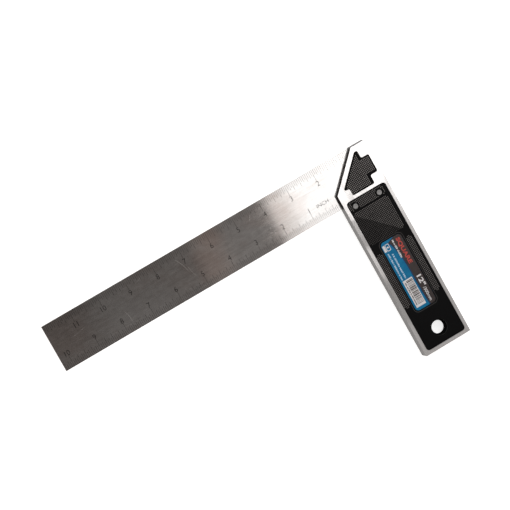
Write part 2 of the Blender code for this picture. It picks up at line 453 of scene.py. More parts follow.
def finish_piece(name, mesh, material, replaced=()):
    """Puts a finished mesh in the scene as a named piece of the tool."""
    mesh.materials.clear()
    for each in material if isinstance(material, list) else [material]:
        mesh.materials.append(each)
    piece = in_scene(name, mesh)
    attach(piece, "root")
    if replaced:
        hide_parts(*replaced)
    print(f"{name}: {sum(len(p.vertices) - 2 for p in mesh.polygons)} triangles")
    return piece


def carved(mesh, cutters):
    """The mesh with closed meshes cut out of it."""
    item = in_scene("blank", mesh)
    for cutter in cutters:
        cutter = in_scene("cutter", cutter)
        boolean = item.modifiers.new("cut", "BOOLEAN")
        boolean.operation = "DIFFERENCE"
        boolean.object = cutter
        mesh = settle(item)
        bpy.data.objects.remove(cutter)
    bpy.data.objects.remove(item)
    return mesh


def edges_broken(mesh, width, segments, angle):
    """The mesh with a bevel on each edge that is sharper than the angle."""
    item = in_scene("blank", mesh)
    bevel = item.modifiers.new("broken_edges", "BEVEL")
    bevel.width = width * MM
    bevel.segments = segments
    bevel.limit_method = "ANGLE"
    bevel.angle_limit = math.radians(angle)
    bevel.use_clamp_overlap = True
    mesh = settle(item)
    bpy.data.objects.remove(item)
    return mesh


def rounded(corners, radius, step=15.0):
    """Outline through the corners in order, each rounded to the radius."""
    points = []
    corners = [Vector(c) for c in corners]
    for i, middle in enumerate(corners):
        into = (corners[i - 1] - middle).normalized()
        out = (corners[(i + 1) % len(corners)] - middle).normalized()
        half = into.angle(out) / 2
        centre = middle + (into + out).normalized() * (radius / math.sin(half))
        start = middle + into * (radius / math.tan(half)) - centre
        sweep = start.angle_signed(middle + out * (radius / math.tan(half)) - centre)
        steps = max(2, round(abs(math.degrees(sweep)) / step))
        points += [centre + Matrix.Rotation(-sweep * k / steps, 2) @ start for k in range(steps + 1)]
    return points


def rectangle(left, right, bottom, top):
    """Corners of an upright rectangle, anticlockwise."""
    return [(left, bottom), (right, bottom), (right, top), (left, top)]


# %% [markdown]
# ## Geometry Nodes for what repeats
#
# Scale marks, grip points and rivets all repeat one small shape by a rule. Each has its own tree
# with named sizes. The helper makes the tree's sockets, and another runs a tree once and hands
# back a plain mesh, so nothing in the finished scene depends on a live modifier.

# %% Geometry Nodes helpers
def new_tree(name, inputs):
    """Geometry Nodes tree with these named inputs; returns it with its input and output nodes."""
    tree = bpy.data.node_groups.new(name, "GeometryNodeTree")
    tree.is_modifier = True
    tree.interface.new_socket("Geometry", in_out="INPUT", socket_type="NodeSocketGeometry")
    for label, kind in inputs.items():
        tree.interface.new_socket(label, in_out="INPUT", socket_type="NodeSocket" + kind)
    tree.interface.new_socket("Geometry", in_out="OUTPUT", socket_type="NodeSocketGeometry")
    return tree, tree.nodes.new("NodeGroupInput"), tree.nodes.new("NodeGroupOutput")


def geo(tree, kind, inputs=None, **settings):
    """First output of a Geometry Nodes node."""
    return add(tree, "GeometryNode" + kind, inputs, **settings).outputs[0]


def end_tree(tree, source, output, shapes):
    """Ends a tree with Realize Instances and Set Material."""
    solid = geo(tree, "RealizeInstances", {"Geometry": shapes})
    coloured = geo(tree, "SetMaterial", {"Geometry": solid, "Material": source.outputs["Material"]})
    tree.links.new(coloured, output.inputs[0])


def run_tree(tree, values, start=None):
    """Plain mesh that a tree makes from these named values."""
    item = in_scene(tree.name, start or bpy.data.meshes.new(tree.name))
    modifier = item.modifiers.new(tree.name, "NODES")
    modifier.node_group = tree
    for socket in tree.interface.items_tree:
        if socket.in_out == "INPUT" and socket.name in values:
            modifier[socket.identifier] = values[socket.name]
    mesh = settle(item)
    bpy.data.objects.remove(item)
    return mesh


# %% [markdown]
# ## Steel blade
#
# The blade is a strip of one millimetre spring steel, ground along its length, so the grain runs
# the long way and stretches every reflection across it. Years of handling leave faint brown
# clouds and a few curved scratches. The grain could be bump alone, but a stretched highlight
# needs the shader's own anisotropy, and that needs to know the grain's direction: a UV map laid
# out with u across the blade gives it.

# %% Ground steel
# Each is the middle of a short arc, its length, the way it points, how much it curves and its width.
SCRATCHES = [
    (-138.0, 27.0, 17.0, 112.0, 0.030, 0.10),
    (-134.0, 19.0, 12.0, 105.0, -0.02, 0.07),
    (-196.0, 13.0, 13.0, 100.0, 0.030, 0.08),
    (-71.0, 32.0, 6.0, 60.0, 0.03, 0.08),
    (-176.0, 34.0, 9.0, 20.0, 0.02, 0.05),
    (-60.0, 12.0, 8.0, 150.0, 0.02, 0.05),
    (-238.0, 22.0, 15.0, 10.0, 0.01, 0.05),
]


def arc_scratch(tree, place, x, y, length, way, bend, width):
    """Share of one thin curved scratch at each point of the blade."""
    middle = at(x, y, BLADE_FACE)
    across = Vector((-math.sin(math.radians(way)), math.cos(math.radians(way)), 0.0))
    centre = middle + across * (MM / bend)
    off = maths(tree, "ABSOLUTE", maths(tree, "SUBTRACT", distance(tree, place, centre), abs(MM / bend)))
    line = fade(tree, off, width * MM, width * 2.5 * MM, 1.0, 0.0)
    reach = fade(tree, distance(tree, place, middle), length * 0.3 * MM, length * 0.5 * MM, 1.0, 0.0)
    return product(tree, line, reach)


def patch(tree, place, ragged, x, y, radius):
    """Share of a soft-edged patch round a place on the blade, with a ragged rim."""
    radius *= MM
    uneven = fade(tree, ragged, 0.3, 0.7, -0.4 * radius, 0.4 * radius)
    off = maths(tree, "ADD", distance(tree, place, at(x, y, BLADE_FACE)), uneven)
    return fade(tree, off, 0.4 * radius, 1.2 * radius, 1.0, 0.0)


# Middle and radius of each patch of brown tarnish.
TARNISH = [(-252.0, 24.0, 30.0), (-121.0, 17.0, 17.0), (-108.0, 34.0, 12.0)]


def ground_steel():
    """Cold rolled steel, ground lengthwise, with brown tarnish, rubbed clouds and scratches."""
    material, tree, shader, place = new_material(
        "ground_steel", Metallic=1.0, Anisotropic=0.9, Specular_IOR_Level=0.5
    )
    streaks = noise(tree, place, 1.0, (9.0, 520.0, 900.0), detail=7.0, roughness=0.72)
    clouds = noise(tree, place, 34.0, (0.8, 1.2, 1.0), detail=4.0, roughness=0.6, distortion=0.6)
    mottle = noise(tree, place, 260.0, (0.6, 1.0, 1.0), detail=5.0, roughness=0.7)
    brown = fade(tree, clouds, 0.5, 0.72, 0.0, 0.7)
    for x, y, radius in TARNISH:
        brown = maths(tree, "MAXIMUM", brown, patch(tree, place, clouds, x, y, radius))
    clean = tinted(tree, clouds, 0.3, 0.55, (0.60, 0.592, 0.585), (0.55, 0.53, 0.515))
    steel = blend_colours(tree, brown, clean, (0.50, 0.42, 0.385))
    lengthwise = fade(tree, streaks, 0.3, 0.7, -0.5, 0.5)
    shade = maths(tree, "ADD", lengthwise, fade(tree, mottle, 0.3, 0.7, -0.4, 0.4))
    streaked = tinted(tree, shade, -0.9, 0.9, (0.38, 0.365, 0.355), (0.72, 0.705, 0.695))
    base = blend_colours(tree, 0.45, steel, streaked)
    marks = arc_scratch(tree, place, *SCRATCHES[0])
    for scratch in SCRATCHES[1:]:
        marks = maths(tree, "MAXIMUM", marks, arc_scratch(tree, place, *scratch))
    base = blend_colours(tree, product(tree, marks, 0.5), base, (0.85, 0.84, 0.83))
    rough = fade(tree, mottle, 0.25, 0.75, 0.115, 0.165)
    rough = maths(tree, "ADD", rough, product(tree, marks, 0.12))
    grain = maths(tree, "ADD", product(tree, streaks, 0.6), product(tree, mottle, 0.4))
    drive(tree, shader, Base_Color=base, Roughness=rough, Tangent=grain_direction(tree))
    drive(tree, shader, Normal=bump(tree, grain, 0.003))
    return material


steel = ground_steel()

# %% Blade
BLADE_EDGE_BREAK = 0.2


def lay_grain(mesh, across, along_it):
    """UV map whose first direction runs across the grain, so the stretched highlight does too."""
    layer = mesh.uv_layers.new(name="grain")
    for loop in mesh.loops:
        place = mesh.vertices[loop.vertex_index].co
        layer.data[loop.index].uv = (place[across] / 0.3, place[along_it] / 0.3)


# The thin edges and their broken arrises take a dark steel, painted shade that draws the dark line round
# the blade.
edge_shade_tones = ((0.12, 0.115, 0.11), (0.24, 0.23, 0.225))
edge_steel = grained_metal("edge_steel", 1600.0, (0.2, 1.0, 1.0), edge_shade_tones, (0.5, 0.35))


def steel_blade():
    """Blade with its sharp arrises just broken."""
    mesh = edges_broken(welded_copy("blade"), BLADE_EDGE_BREAK, 2, 50)
    lay_grain(mesh, 1, 0)
    tidy_shading(mesh)
    piece = finish_piece("steel_blade", mesh, [steel, edge_steel], ["blade"])
    # Flat faces take the ground steel; edges and sides take the dark steel of painted shade.
    for face in mesh.polygons:
        face.material_index = 0 if abs(face.normal.z) > 0.99 else 1
    flat_faces_stay_flat(piece)


steel_blade()

# %% [markdown]
# ## Scales on the blade
#
# Both edges carry inches in sixteenths. The upper scale counts from the stock's outer edge, the
# lower one from its inner face, so the marks don't line up with each other. They are etched lines of
# five lengths. Dark paint would stay dark in a bright reflection, but an etched mark is steel that
# shines less, so its finish is a dimmer steel. A tree places one small bar for each sixteenth and
# picks its length from its number: every 16th mark is an inch, every 8th a half, and so on.

# %% Etched marks
MARK_WIDTH = 0.24
MARK_SINK = 0.03
MARK_PROUD = 0.012
SIXTEENTHS = 16
MARK_LENGTHS = {"Sixteenth": 4.7, "Eighth": 5.8, "Quarter": 7.3, "Half": 7.8, "Inch": 9.8}
MARK_EVERY = {"Eighth": 2, "Quarter": 4, "Half": 8, "Inch": 16}


def etched_black():
    """Steel that the acid has darkened: it still mirrors the room, but far more dimly."""
    material, tree, shader, place = new_material("etched_black", Metallic=1.0, Anisotropic=0.8)
    worn = fade(tree, noise(tree, place, 1500.0, detail=3.0), 0.35, 0.75)
    drive(tree, shader, Base_Color=blend_colours(tree, worn, (0.05, 0.047, 0.045), (0.13, 0.124, 0.12)))
    drive(tree, shader, Roughness=fade(tree, worn, 0.0, 1.0, 0.22, 0.16), Tangent=grain_direction(tree))
    return material


def marks_tree():
    """A row of bars along -X, each as long as its number in sixteenths asks for."""
    sizes = {"Pitch": "Float", "First": "Int", "Count": "Int", "Width": "Float", "Depth": "Float"}
    sizes.update({"Start": "Vector", "Side": "Float", "Material": "Material"})
    sizes.update({label: "Float" for label in MARK_LENGTHS})
    tree, source, output = new_tree("scale_marks", sizes)
    given = source.outputs
    step = add(tree, "ShaderNodeCombineXYZ", {"X": product(tree, given["Pitch"], -1.0)}).outputs[0]
    line_inputs = {"Count": given["Count"], "Start Location": given["Start"], "Offset": step}
    line = geo(tree, "MeshLine", line_inputs, mode="OFFSET")
    number = maths(tree, "ADD", geo(tree, "InputIndex"), given["First"])
    length = given["Sixteenth"]
    for label, every in MARK_EVERY.items():
        whole = maths(tree, "LESS_THAN", maths(tree, "MODULO", number, float(every)), 0.5)
        choice = {"Switch": whole, "False": length, "True": given[label]}
        length = geo(tree, "Switch", choice, input_type="FLOAT")
    middle = product(tree, length, 0.5, given["Side"])
    shift = add(tree, "ShaderNodeCombineXYZ", {"Y": middle}).outputs[0]
    line = geo(tree, "SetPosition", {"Geometry": line, "Offset": shift})
    bar = geo(tree, "MeshCube", {"Size": (1.0, 1.0, 1.0)})
    lengths = {"X": given["Width"], "Y": length, "Z": given["Depth"]}
    size = add(tree, "ShaderNodeCombineXYZ", lengths).outputs[0]
    bars = geo(tree, "InstanceOnPoints", {"Points": line, "Instance": bar, "Scale": size})
    end_tree(tree, source, output, bars)
    return tree


etching = etched_black()
marks = marks_tree()


def scale_marks(first, last, zero_x, edge_y, side):
    """Bars from one sixteenth to another; zero_x is where the scale counts from."""
    height = BLADE_FACE + (MARK_PROUD - MARK_SINK) / 2
    values = {label: length * MM for label, length in MARK_LENGTHS.items()}
    values.update(Pitch=INCH / SIXTEENTHS * MM, First=first, Count=last - first + 1, Width=MARK_WIDTH * MM)
    values.update(Depth=(MARK_PROUD + MARK_SINK) * MM, Side=side, Material=etching)
    values.update(Start=at(zero_x - first * INCH / SIXTEENTHS, edge_y, height))
    return run_tree(marks, values)


upper_marks = scale_marks(9, 191, STOCK_WIDTH, BLADE_WIDTH - 0.15, -1.0)
lower_marks = scale_marks(1, 164, 0.0, 0.15, 1.0)
marks_mesh = joined([upper_marks, lower_marks], "blade_marks")
lay_grain(marks_mesh, 1, 0)
finish_piece("blade_marks", marks_mesh, etching)

# %% [markdown]
# ## Numbers
#
# Each inch has its number just inside its mark, upright when the blade's upper edge is up. Text
# is made a mesh first, then scaled to the measured height and width and moved into place, so the
# letters keep the shape they have on the tool whatever the font's own proportions are.

# %% Lettering
def lettering(text, height, width=None, weight=0.0, depth=0.04, turn=0.0, narrow=1.0):
    """Closed mesh of a word centred on the origin, its size in millimetres; turn is in degrees."""
    curve = bpy.data.curves.new(text, "FONT")
    curve.body = text
    curve.size = 1.0
    curve.offset = weight
    curve.extrude = 0.5
    curve.resolution_u = 3
    item = in_scene(text, curve)
    bpy.context.view_layer.update()
    mesh = bpy.data.meshes.new_from_object(item.evaluated_get(bpy.context.evaluated_depsgraph_get()))
    bpy.data.objects.remove(item)
    with editing(mesh) as editor:
        bmesh.ops.remove_doubles(editor, verts=editor.verts, dist=0.0001)
        bmesh.ops.recalc_face_normals(editor, faces=editor.faces)
    low = Vector(map(min, zip(*(v.co for v in mesh.vertices))))
    high = Vector(map(max, zip(*(v.co for v in mesh.vertices))))
    size = high - low
    tall = height / size.y
    wide = width / size.x if width else tall * narrow
    scaled = Matrix.Diagonal((wide * MM, tall * MM, depth * MM / size.z, 1.0))
    turned = Matrix.Rotation(math.radians(turn), 4, "Z")
    mesh.transform(turned @ scaled @ Matrix.Translation(-(low + high) / 2))
    return mesh


def put(mesh, x, y, z):
    """The mesh moved so that its middle is at a place in millimetres."""
    mesh.transform(Matrix.Translation(at(x, y, z)))
    return mesh


# %% Inch numbers
NUMBER_HEIGHT = 4.4
NUMBER_NARROW = 0.92
NUMBER_IN = 12.4
NUMBER_WEIGHT = -0.006


def inch_numbers():
    """Numbers of both scales and the word that names the unit."""
    found = [(n, STOCK_WIDTH - n * INCH, BLADE_WIDTH - NUMBER_IN) for n in range(2, 12)]
    found += [(n, -n * INCH, NUMBER_IN) for n in range(1, 11)]
    depth = MARK_PROUD + MARK_SINK
    z = BLADE_FACE + (MARK_PROUD - MARK_SINK) / 2
    meshes = []
    for number, x, y in found:
        mesh = lettering(str(number), NUMBER_HEIGHT, None, NUMBER_WEIGHT, depth, narrow=NUMBER_NARROW)
        meshes.append(put(mesh, x, y, z))
    meshes.append(put(lettering("INCH", 3.1, 11.0, NUMBER_WEIGHT, depth), -12.5, 12.3, z))
    return joined(meshes, "blade_numbers")


numbers_mesh = inch_numbers()
lay_grain(numbers_mesh, 1, 0)
finish_piece("blade_numbers", numbers_mesh, etching)

# %% [markdown]
# ## Cast stock
#
# The stock is die-cast aluminium. Its rims are milled flat after casting, which leaves a bright
# satin face with fine streaks along the stock, while the walls keep the duller skin of the
# casting. So the piece gets two finishes, chosen by which way each face looks and how high it
# lies, and its cut edges are broken a little so that they catch the light.

# %% Milled and cast aluminium
# Duller and brighter stretches of the inner rim are painted reflection: its colour is made darker or paler
# where the edge of a reflection would lie. Each is its top, its bottom, how soft those two ends are, its
# strength and its colour.
RIM_PAINTED_REFLECTIONS = [
    (-12.0, -44.0, 0.4, 9.0, 0.62, (0.34, 0.33, 0.325)),
    (-40.0, -70.0, 5.0, 8.0, 0.75, (0.98, 0.96, 0.95)),
    (-72.0, -112.0, 8.0, 8.0, 0.45, (0.42, 0.41, 0.40)),
]
HOLE = (21.6, -123.9)
HOLE_REACH = 7.6


def milled_aluminium():
    """Bright milled face with fine streaks along the stock, small dull spots and painted reflection on the
    inner rim.
    """
    material, tree, shader, place = new_material("milled_aluminium", Metallic=1.0, Anisotropic=0.8)
    streaks = noise(tree, place, 1.0, (900.0, 22.0, 500.0), detail=6.0, roughness=0.7)
    clouds = noise(tree, place, 1.0, (130.0, 55.0, 60.0), detail=4.0, roughness=0.6)
    spots = noise(tree, place, 700.0, detail=3.0)
    lengthwise = fade(tree, streaks, 0.3, 0.7, -0.5, 0.5)
    tone = maths(tree, "ADD", lengthwise, fade(tree, clouds, 0.3, 0.7, -0.7, 0.7))
    base = tinted(tree, tone, -0.9, 0.9, (0.63, 0.61, 0.60), (0.82, 0.80, 0.79))
    base = blend_colours(tree, fade(tree, spots, 0.64, 0.72, 0.0, 0.7), base, (0.42, 0.40, 0.39))
    split = axes(tree, place)
    inner = fade(tree, split["X"], at(2.6, 0).x, at(3.0, 0).x, 1.0, 0.0)
    # Painted reflection: each stretch darkens or lightens the inner rim's colour.
    for top, bottom, soft_top, soft_end, share, tint in RIM_PAINTED_REFLECTIONS:
        below = fade(tree, split["Y"], at(0, top + soft_top).y, at(0, top).y)
        above = fade(tree, split["Y"], at(0, bottom).y, at(0, bottom + soft_end).y)
        base = blend_colours(tree, product(tree, inner, below, above, share), base, tint)
    drive(tree, shader, Base_Color=base, Roughness=fade(tree, tone, -0.9, 0.9, 0.31, 0.2))
    drive(tree, shader, Tangent=grain_direction(tree), Normal=bump(tree, streaks, 0.006))
    return material


def cast_skin():
    """Duller wall with the grainy skin of a die casting, and painted shade that makes it near black in the
    hole and beside the slot.
    """
    material, tree, shader, place = new_material("cast_skin", Specular_IOR_Level=0.0)
    grain = noise(tree, place, 1400.0, detail=5.0, roughness=0.7)
    clouds = noise(tree, place, 120.0, detail=3.0)
    tone = maths(tree, "ADD", product(tree, grain, 0.8), product(tree, clouds, 0.2))
    base = tinted(tree, tone, 0.35, 0.65, (0.14, 0.135, 0.13), (0.22, 0.215, 0.21))
    split = axes(tree, place)
    # Painted shade: the wall is darkened beside the slot, where the shoulder meets the blade.
    painted_slot_shade = fade(tree, split["Y"], at(0, -1.5).y, at(0, 1.0).y, 0.0, 0.88)
    not_outside = fade(tree, split["X"], at(STOCK_WIDTH - 0.6, 0).x, at(STOCK_WIDTH - 0.2, 0).x, 1.0, 0.0)
    # Painted shade: the hanging hole's wall is painted near black and not metallic, as if in shadow.
    flat = vector_maths(tree, "MULTIPLY", place, (1, 1, 0))
    off = distance(tree, flat, at(*HOLE) * Vector((1, 1, 0)))
    painted_hole_shade = fade(tree, off, HOLE_REACH * MM, (HOLE_REACH + 0.4) * MM, 1.0, 0.0)
    base = blend_colours(tree, product(tree, painted_slot_shade, not_outside), base, (0.03, 0.026, 0.025))
    base = blend_colours(tree, painted_hole_shade, base, (0.008, 0.008, 0.008))
    drive(tree, shader, Metallic=maths(tree, "SUBTRACT", 1.0, painted_hole_shade))
    drive(tree, shader, Base_Color=base, Roughness=fade(tree, tone, 0.35, 0.65, 0.62, 0.5))
    drive(tree, shader, Normal=bump(tree, grain, 0.02))
    return material


# %% Stock
STOCK_EDGE_BREAK = 0.1


def cast_stock():
    """Stock with its edges broken, milled on its flat faces and cast elsewhere."""
    mesh = edges_broken(welded_copy("stock"), STOCK_EDGE_BREAK, 1, 60)
    lay_grain(mesh, 0, 1)
    tidy_shading(mesh)
    piece = finish_piece("cast_stock", mesh, [milled_aluminium(), cast_skin()], ["stock"])
    outer = {round(stock_low.z, 5), round(stock_high.z, 5)}
    for face in mesh.polygons:
        on_rim = abs(face.normal.z) > 0.3 and min(abs(face.center.z - z) for z in outer) < 0.6 * MM
        face.material_index = 0 if on_rim else 1
    flat_faces_stay_flat(piece)


cast_stock()

# %% [markdown]
# ## Moulded covers
#
# The black covers are injection moulded. Their grip is a field of small four-sided points inside a
# smooth border. On the long cover a groove crosses below the rivets, a thin raised line frames the
# label, and a textured strip runs down each side of it; the end with the hanging hole is smooth.
# Each textured field is first sunk a little into the cover, then a tree fills it with points that
# end level with the border, as the mould's own knurling would.

# %% Moulded plastic
def moulded_plastic(name, base, worn, roughness, gloss):
    """Black plastic with a fine moulded grain and faint scuffs."""
    material, tree, shader, place = new_material(name, Specular_IOR_Level=gloss)
    grain = noise(tree, place, 2600.0, detail=3.0)
    scuffs = noise(tree, place, 1.0, (180.0, 700.0, 300.0), detail=5.0, roughness=0.75)
    colour = blend_colours(tree, fade(tree, scuffs, 0.6, 0.78, 0.0, 0.8), base, worn)
    rough = fade(tree, grain, 0.3, 0.7, roughness + 0.06, roughness - 0.06)
    drive(tree, shader, Base_Color=colour, Roughness=rough, Normal=bump(tree, grain, 0.006))
    return material, tree, shader, place, colour


# A slanting line crosses the upper field between these two places, the edge of a painted reflection: below
# it the painted highlight on the points is weaker.
GRIP_REFLECTION_LINE = [(4.1, -8.8), (36.6, -39.8)]


def rubbed_points(low, high):
    """The same plastic with a painted highlight: the tops of the grip's points are painted paler, less so
    below a slanting line.
    """
    made = moulded_plastic("grip_black", (0.0035, 0.0035, 0.0035), (0.010, 0.0095, 0.0095), 0.5, 0.03)
    material, tree, shader, place, colour = made
    split = axes(tree, place)
    off = maths(tree, "ABSOLUTE", maths(tree, "SUBTRACT", split["Z"], at(0, 0, STOCK_FACE / 2).z))
    # Painted highlight on the tops of the points, weaker on the long cover and below the slanting line.
    painted_top_highlight = fade(tree, off, (low - STOCK_FACE / 2) * MM, (high - STOCK_FACE / 2) * MM)
    uneven = fade(tree, noise(tree, place, 90.0, detail=3.0), 0.3, 0.7, 0.8, 1.0)
    painted_highlight_strength = fade(tree, split["Y"], at(0, 5).y, at(0, 8).y, 0.68, 1.0)
    start, end = (at(*spot) for spot in GRIP_REFLECTION_LINE)
    slope = (end.y - start.y) / (end.x - start.x)
    level = start.y - slope * start.x
    over = maths(tree, "SUBTRACT", split["Y"], product(tree, split["X"], slope))
    below = fade(tree, over, level - 0.4 * MM, level + 0.4 * MM, 0.6, 0.0)
    missed = product(tree, below, fade(tree, split["Y"], at(0, -44).y, at(0, -42).y))
    share = product(tree, painted_top_highlight, uneven, painted_highlight_strength, maths(tree, "SUBTRACT", 1.0, missed))
    # Painted highlight: the tops of the points are mixed towards pale grey.
    drive(tree, shader, Base_Color=blend_colours(tree, share, colour, (0.34, 0.325, 0.318)))
    return material


dark, scuffed = (0.0042, 0.0042, 0.0043), (0.011, 0.011, 0.011)
smooth_black = moulded_plastic("smooth_black", dark, scuffed, 0.42, 0.05)[0]
cover_low, cover_high = in_mm("grip_cover_front")
COVER_FACE = cover_high.z
grip_black = rubbed_points(COVER_FACE, COVER_FACE + 0.08)

# %% Grip points
POINT_PITCH = 1.41
POINT_BASE = 1.2
POINT_TOP = 0.56
FIELD_SINK = 0.3


def points_tree():
    """Fills a flat region with rows of small four-sided points standing on it."""
    sizes = {"Region": "Object", "Pitch": "Float", "Base": "Float", "Top": "Float", "Height": "Float"}
    sizes.update({"Material": "Material"})
    tree, source, output = new_tree("grip_points", sizes)
    given = source.outputs
    region = add(tree, "GeometryNodeObjectInfo", {"Object": given["Region"]}).outputs["Geometry"]
    box = add(tree, "GeometryNodeBoundBox", {"Geometry": region}).outputs
    size = vector_maths(tree, "SUBTRACT", box["Max"], box["Min"])
    both = vector_maths(tree, "ADD", box["Max"], box["Min"])
    middle = vector_maths(tree, "MULTIPLY", both, (0.5, 0.5, 0.5))
    across = axes(tree, size)
    grid_inputs = {}
    for axis in ("X", "Y"):
        steps = maths(tree, "ROUND", maths(tree, "DIVIDE", across[axis], given["Pitch"]))
        grid_inputs["Vertices " + axis] = maths(tree, "ADD", steps, 1.0)
        grid_inputs["Size " + axis] = maths(tree, "SUBTRACT", across[axis], 0.02 * MM)
    grid = geo(tree, "Transform", {"Geometry": geo(tree, "MeshGrid", grid_inputs), "Translation": middle})
    above = vector_maths(tree, "ADD", geo(tree, "InputPosition"), (0, 0, 5 * MM))
    ray_inputs = {"Target Geometry": region, "Source Position": above, "Ray Length": 10 * MM}
    ray_inputs["Ray Direction"] = (0, 0, -1)
    hit = geo(tree, "Raycast", ray_inputs)
    missed = add(tree, "FunctionNodeBooleanMath", {0: hit}, operation="NOT").outputs[0]
    kept = geo(tree, "DeleteGeometry", {"Geometry": grid, "Selection": missed})
    cone_inputs = {"Vertices": 4, "Depth": given["Height"]}
    for end, label in (("Bottom", "Base"), ("Top", "Top")):
        cone_inputs["Radius " + end] = product(tree, given[label], math.sqrt(0.5))
    cone = geo(tree, "MeshCone", cone_inputs)
    placed = {"Points": kept, "Instance": cone, "Rotation": (0, 0, math.pi / 4)}
    end_tree(tree, source, output, geo(tree, "InstanceOnPoints", placed))
    return tree


grip_points = points_tree()


def filled_field(outline, floor, height):
    """Points that fill an outline, standing on its floor; sizes in millimetres."""
    mesh = bpy.data.meshes.new("field")
    with editing(mesh) as editor:
        editor.faces.new([editor.verts.new(at(x, y, floor)) for x, y in outline])
    region = in_scene("field", mesh)
    values = {"Region": region, "Pitch": POINT_PITCH * MM, "Base": POINT_BASE * MM, "Top": POINT_TOP * MM}
    values.update(Height=height * MM, Material=grip_black)
    made = run_tree(grip_points, values)
    bpy.data.objects.remove(region)
    return made


# %% Grip cover
GROOVE_Y = -6.5
GROOVE_WIDTH = 1.0
GROOVE_DEPTH = 0.5
GROOVE_ENDS = (1.4, 2.6)
BORDER = 2.8
FIELD_CORNER = 0.5
STRIPS = {"left": (3.5, 9.1, -97.2, -46.4), "right": (32.85, 38.2, -96.9, -45.0)}
RIVETS = [(9.2, -2.7), (32.2, -2.7)]
RIVET_LAND = 2.8
RIVET_CLEAR = 2.62
label_low, label_high = in_mm("label")


def inset(outline, gap):
    """Upright rectangle drawn in by a gap."""
    left, right, bottom, top = outline
    return rectangle(left + gap, right - gap, bottom + gap, top - gap)


def grip_fields():
    """Left, right, bottom and top of each textured field of the long cover."""
    left, right = cover_low.x + 0.5, cover_high.x - BORDER
    top_band = (left, right, GROOVE_Y + 0.7, cover_high.y - 0.6)
    upper = (left, right, label_high.y + 2.2, GROOVE_Y - 0.7)
    return [top_band, upper, *STRIPS.values()]


def disc(x, y, radius, low, high, steps=32):
    """Round plate."""
    turns = [2 * math.pi * k / steps for k in range(steps)]
    return plate([(x + radius * math.cos(t), y + radius * math.sin(t)) for t in turns], low, high)


def grip_field_points():
    """Points of every field, left out where the rivets sit."""
    made = []
    for field in grip_fields():
        outline = rounded(inset(field, POINT_BASE * 0.55), 0.15)
        made.append(filled_field(outline, COVER_FACE - FIELD_SINK, FIELD_SINK + 0.1))
    mesh = joined(made, "grip_points")
    with editing(mesh) as editor:
        crowded = set()
        for vertex in editor.verts:
            off = min((vertex.co - at(x, y)).xy.length for x, y in RIVETS)
            if off < (RIVET_LAND - 0.05) * MM:
                crowded.update(v for face in vertex.link_faces for v in face.verts)
        bmesh.ops.delete(editor, geom=list(crowded), context="VERTS")
    return mesh


def grip_cutters():
    """Shapes of the groove and of the sunk fields."""
    top = COVER_FACE + 1
    cutters = []
    for field in grip_fields():
        cutters.append(plate(rounded(rectangle(*field), FIELD_CORNER), COVER_FACE - FIELD_SINK, top))
    low, high = GROOVE_Y - GROOVE_WIDTH / 2, GROOVE_Y + GROOVE_WIDTH / 2
    groove = rectangle(cover_low.x + GROOVE_ENDS[0], cover_high.x - GROOVE_ENDS[1], low, high)
    return [*cutters, plate(groove, COVER_FACE - GROOVE_DEPTH, top)]


def rivet_lands():
    """Smooth rings that stand up to the border's level round each rivet."""
    meshes = []
    for x, y in RIVETS:
        whole = disc(x, y, RIVET_LAND, COVER_FACE - FIELD_SINK - 0.1, COVER_FACE)
        meshes.append(carved(whole, [disc(x, y, RIVET_CLEAR, COVER_FACE - 2, COVER_FACE + 1)]))
    return joined(meshes, "rivet_lands")


def covers(kind, name, cutters, flat_parts, points):
    """Front and back cover of a kind: the CAD piece with its cuts, and what stands on it."""
    for side in ("front", "back"):
        placed = [cutters, flat_parts, [points]]
        if side == "back":
            placed = [[turned_over(mesh) for mesh in group] for group in placed]
        node = f"{kind}_cover_{side}"
        base = carved(welded_copy(node), placed[0])
        tidy_shading(base)
        smooth_faces = len(base.polygons)
        plain_faces = smooth_faces + sum(len(mesh.polygons) for mesh in flat_parts)
        mesh = joined([base, *placed[1], *placed[2]], node)
        piece = finish_piece(f"{name}_{side}", mesh, [smooth_black, grip_black], [node])
        for index, face in enumerate(mesh.polygons):
            face.material_index = 1 if index >= plain_faces else 0
            face.use_smooth = index < smooth_faces
        mesh.set_sharp_from_angle(angle=SHARP_ANGLE)
        flat_faces_stay_flat(piece)


points = grip_field_points()
covers("grip", "grip", grip_cutters(), [rivet_lands()], points)

# %% [markdown]
# ## Label frame
#
# A thin raised line runs round the label on the moulding. It follows a path, so a tree fillets a
# rectangle and sweeps a small round along it, which lies partly sunk in the cover.

# %% Raised line round the label
FRAME_GAP = 1.35
FRAME_RADIUS = 0.28
FRAME_CORNER = 4.2
FRAME_SINK = 0.12


def set_menu(node, value):
    """Sets a node's mode, which is a property in some versions and a menu socket in others."""
    if hasattr(node, "mode"):
        node.mode = value
    else:
        node.inputs["Mode"].default_value = value.title()


def frame_tree():
    """Rounded rectangle swept with a small round."""
    sizes = {"Width": "Float", "Height": "Float", "Corner": "Float", "Radius": "Float"}
    sizes.update({"Middle": "Vector", "Material": "Material"})
    tree, source, output = new_tree("label_frame", sizes)
    given = source.outputs
    sides = {"Width": given["Width"], "Height": given["Height"]}
    path = geo(tree, "CurvePrimitiveQuadrilateral", sides)
    fillet = add(tree, "GeometryNodeFilletCurve", {"Curve": path, "Radius": given["Corner"]})
    set_menu(fillet, "POLY")
    fillet.inputs["Count"].default_value = 8
    profile = geo(tree, "CurvePrimitiveCircle", {"Resolution": 8, "Radius": given["Radius"]})
    swept = geo(tree, "CurveToMesh", {"Curve": fillet.outputs[0], "Profile Curve": profile})
    moved = geo(tree, "Transform", {"Geometry": swept, "Translation": given["Middle"]})
    end_tree(tree, source, output, moved)
    return tree


dark, scuffed = (0.035, 0.034, 0.034), (0.075, 0.072, 0.07)
rubbed_black = moulded_plastic("rubbed_black", dark, scuffed, 0.42, 0.3)[0]


